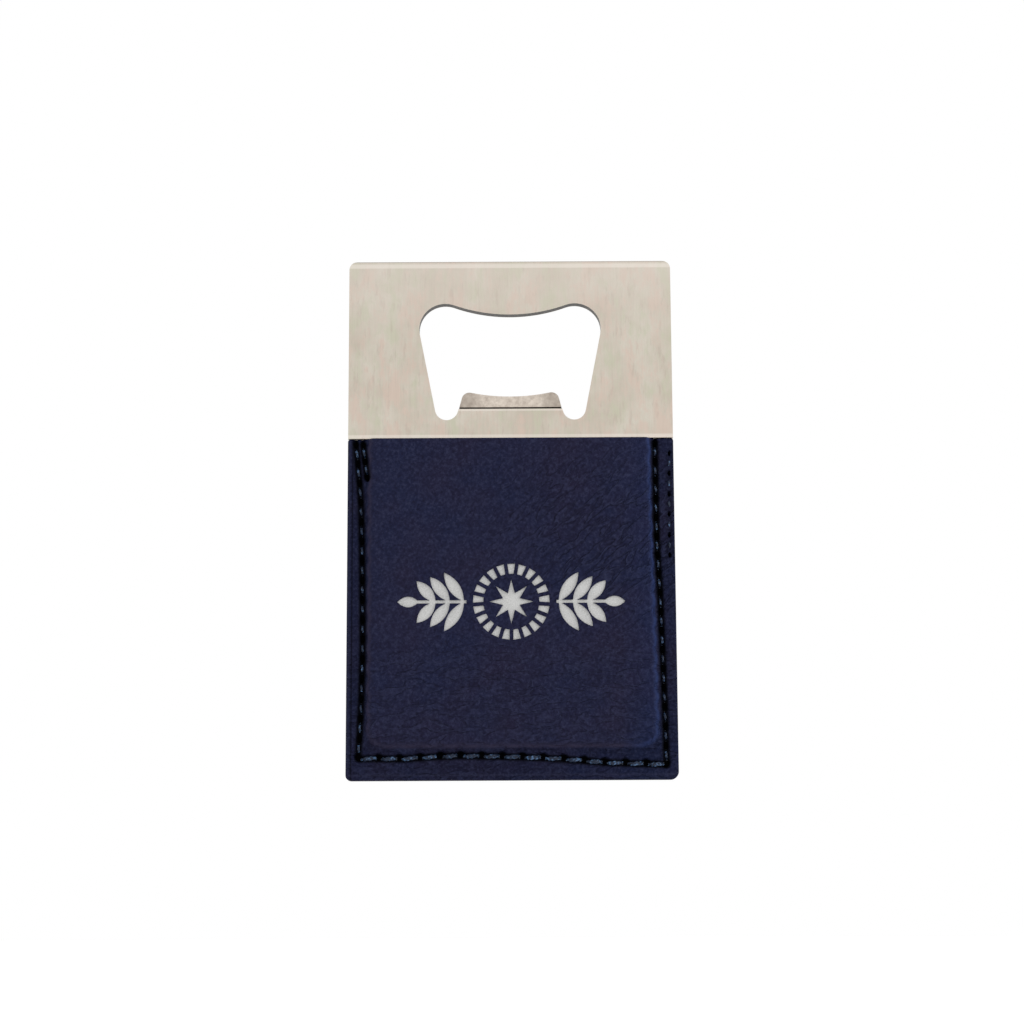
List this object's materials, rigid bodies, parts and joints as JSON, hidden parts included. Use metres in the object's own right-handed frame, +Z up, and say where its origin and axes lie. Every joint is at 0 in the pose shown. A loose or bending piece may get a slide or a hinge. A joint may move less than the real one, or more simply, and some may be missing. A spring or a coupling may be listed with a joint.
{
  "type": "pocket bottle opener",
  "caption": "Flat card-shaped bottle opener: steel head with a shaped cap opening, its tongue sewn into a navy leatherette sleeve engraved with a silver ornament.",
  "frame": {"origin": "middle of the sleeve's bottom edge, on the steel plate's mid-plane", "axes": "+Z up towards the opener head's top edge, +X to the right seen from the front, the front face with the ornament faces -Y"},
  "size_m": [0.0544, 0.004, 0.0874],
  "materials": {
    "steel": "fine vertical brushing, satin",
    "glue": "dried contact adhesive film",
    "backing": "dense dark backing, matt",
    "silver_layer": "silver core layer, satin, seen where the skin is engraved away",
    "navy_skin": "navy leatherette skin with fine grain, satin",
    "thread": "twisted steel-blue sewing thread"
  },
  "bodies": {
    "root": {"opener_plate": "steel", "front_glue_film": "glue", "back_glue_film": "glue", "front_backing": "backing", "back_backing": "backing", "front_silver_layer": "silver_layer", "back_silver_layer": "silver_layer", "front_skin": "navy_skin", "back_skin": "navy_skin", "needle_thread": "thread", "bobbin_thread": "thread"}
  },
  "joints": []
}
